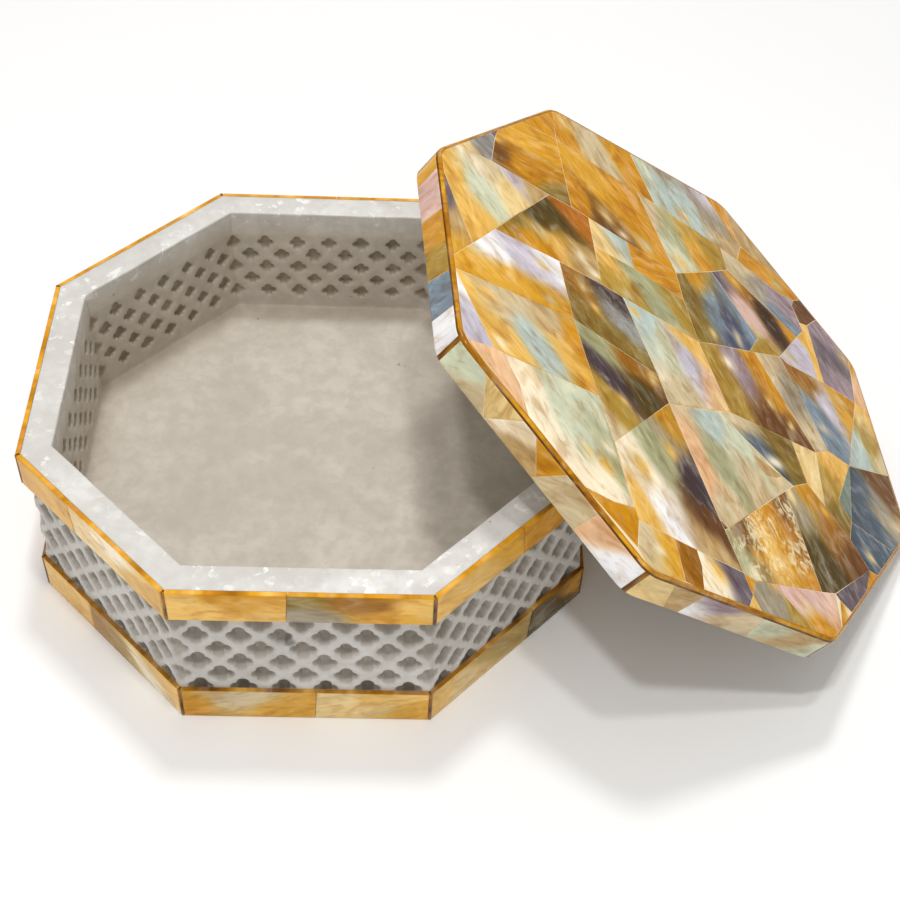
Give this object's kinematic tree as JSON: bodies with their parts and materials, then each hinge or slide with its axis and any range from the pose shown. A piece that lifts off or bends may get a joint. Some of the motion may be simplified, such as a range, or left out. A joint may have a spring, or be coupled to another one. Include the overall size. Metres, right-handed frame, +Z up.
{
  "type": "octagonal marble trinket box",
  "caption": "Eight-sided carved white marble box with golden shell bands, open, its shell mosaic lid leaning against one side.",
  "frame": {"origin": "centre of the box's underside, on the surface it stands on", "axes": "+Z up; +X to the right, towards the side the lid leans on; +Y away from the front"},
  "size_m": [0.2298, 0.1572, 0.0987],
  "materials": {
    "marble": "polished white marble, slightly translucent, matt and warm grey in the carved pockets",
    "band_shell": "polished golden mother-of-pearl strips, amber to cream",
    "lid_shell": "polished mother-of-pearl tiles, golden, pearl white, pale green and blue-grey"
  },
  "bodies": {
    "root": {"box_body": "marble", "lid_slab": "marble", "lid_mosaic": "lid_shell", "lid_edge_right": "lid_shell", "lid_edge_back_right": "lid_shell", "lid_edge_back": "lid_shell", "lid_edge_back_left": "lid_shell", "lid_edge_left": "lid_shell", "lid_edge_front_left": "lid_shell", "lid_edge_front": "lid_shell", "lid_edge_front_right": "lid_shell", "rim_shell_right_1": "band_shell", "rim_shell_right_2": "band_shell", "rim_shell_back_right_1": "band_shell", "rim_shell_back_right_2": "band_shell", "rim_shell_back_1": "band_shell", "rim_shell_back_2": "band_shell", "rim_shell_back_left_1": "band_shell", "rim_shell_back_left_2": "band_shell", "rim_shell_left_1": "band_shell", "rim_shell_left_2": "band_shell", "rim_shell_front_left_1": "band_shell", "rim_shell_front_left_2": "band_shell", "rim_shell_front_1": "band_shell", "rim_shell_front_2": "band_shell", "rim_shell_front_right_1": "band_shell", "rim_shell_front_right_2": "band_shell", "foot_shell_right_1": "band_shell", "foot_shell_right_2": "band_shell", "foot_shell_back_right_1": "band_shell", "foot_shell_back_right_2": "band_shell", "foot_shell_back_1": "band_shell", "foot_shell_back_2": "band_shell", "foot_shell_back_left_1": "band_shell", "foot_shell_back_left_2": "band_shell", "foot_shell_left_1": "band_shell", "foot_shell_left_2": "band_shell", "foot_shell_front_left_1": "band_shell", "foot_shell_front_left_2": "band_shell", "foot_shell_front_1": "band_shell", "foot_shell_front_2": "band_shell", "foot_shell_front_right_1": "band_shell", "foot_shell_front_right_2": "band_shell"}
  },
  "joints": []
}
